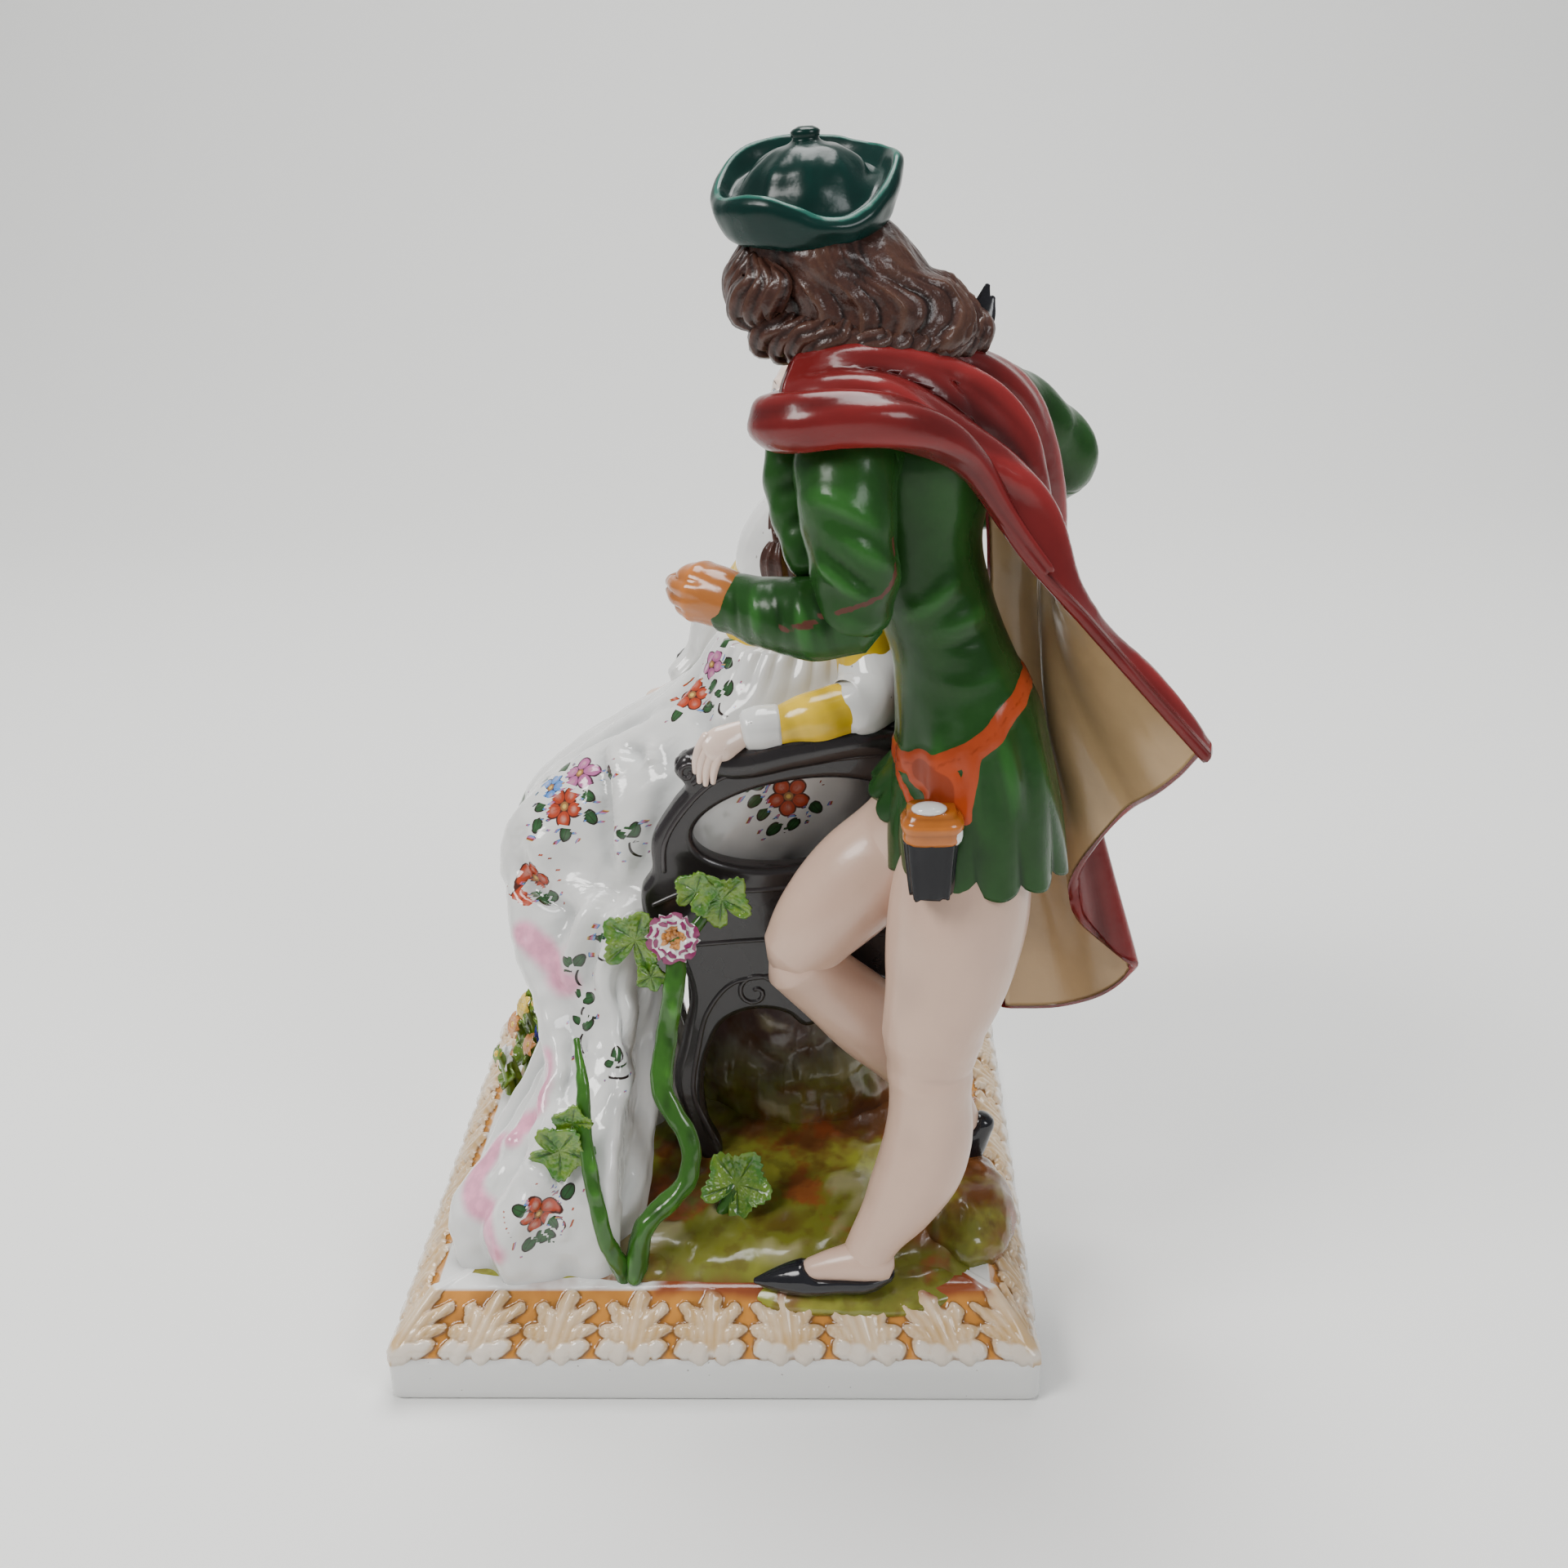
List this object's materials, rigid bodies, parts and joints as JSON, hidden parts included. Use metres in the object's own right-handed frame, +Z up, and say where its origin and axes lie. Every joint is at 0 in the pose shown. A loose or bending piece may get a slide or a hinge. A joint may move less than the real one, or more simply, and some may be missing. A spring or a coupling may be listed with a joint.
{
  "type": "courting couple figurine",
  "caption": "Glazed porcelain group of a gentleman in cape and hat leaning over a lady seated in an armchair, with a climbing rose, on a square plinth with a leaf border.",
  "frame": {"origin": "middle of the plinth's underside", "axes": "+Z up, the long way of the group; +X towards the side that shows the gentleman; -Y towards the front, where the lady faces; +Y towards the gentleman's back"},
  "size_m": [0.1365, 0.1695, 0.2527],
  "materials": {
    "glazed_porcelain": "white glazed porcelain, painted over the glaze, high gloss"
  },
  "bodies": {
    "root": {"courting_couple_group": "glazed_porcelain"}
  },
  "joints": []
}
